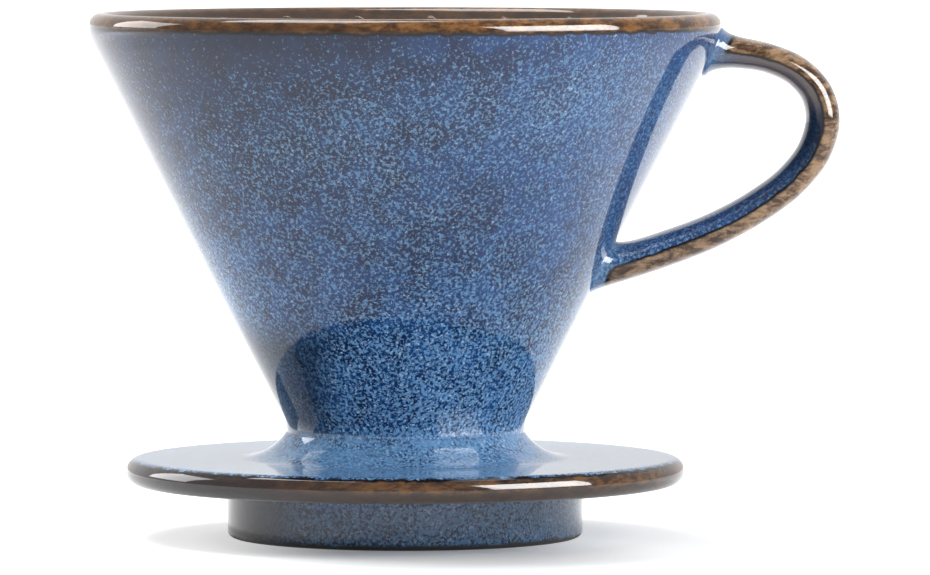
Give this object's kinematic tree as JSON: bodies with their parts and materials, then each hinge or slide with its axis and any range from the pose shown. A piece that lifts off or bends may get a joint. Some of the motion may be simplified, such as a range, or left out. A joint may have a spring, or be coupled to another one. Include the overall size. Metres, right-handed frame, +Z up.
{
  "type": "pour over dripper",
  "caption": "Ceramic cone-shaped pour over coffee dripper with an ear handle, a round saucer base, a foot ring and spiral ribs inside, in speckled blue glaze with brown edges.",
  "frame": {"origin": "centre of the foot ring's bottom face, on the surface it stands on", "axes": "+Z up along the cone's axis, +X towards the handle"},
  "size_m": [0.1188, 0.1, 0.083],
  "materials": {
    "glaze_blue": "glossy reactive blue glaze with fine pale flecks, breaking brown on edges",
    "glaze_handle": "glossy reactive glaze, brown on the outer edge and dark blue inside",
    "glaze_inside": "glossy glaze, thin and brown over the rib tops"
  },
  "bodies": {
    "root": {"cone": "glaze_blue", "saucer": "glaze_blue", "foot_ring": "glaze_blue", "neck_joint": "glaze_blue", "upper_handle_joint": "glaze_blue", "lower_handle_joint": "glaze_blue", "handle": "glaze_handle", "long_rib_01": "glaze_inside", "long_rib_02": "glaze_inside", "long_rib_03": "glaze_inside", "long_rib_04": "glaze_inside", "long_rib_05": "glaze_inside", "long_rib_06": "glaze_inside", "long_rib_07": "glaze_inside", "long_rib_08": "glaze_inside", "long_rib_09": "glaze_inside", "long_rib_10": "glaze_inside", "long_rib_11": "glaze_inside", "long_rib_12": "glaze_inside", "short_rib_01": "glaze_inside", "short_rib_02": "glaze_inside", "short_rib_03": "glaze_inside", "short_rib_04": "glaze_inside", "short_rib_05": "glaze_inside", "short_rib_06": "glaze_inside", "short_rib_07": "glaze_inside", "short_rib_08": "glaze_inside", "short_rib_09": "glaze_inside", "short_rib_10": "glaze_inside", "short_rib_11": "glaze_inside", "short_rib_12": "glaze_inside"}
  },
  "joints": []
}
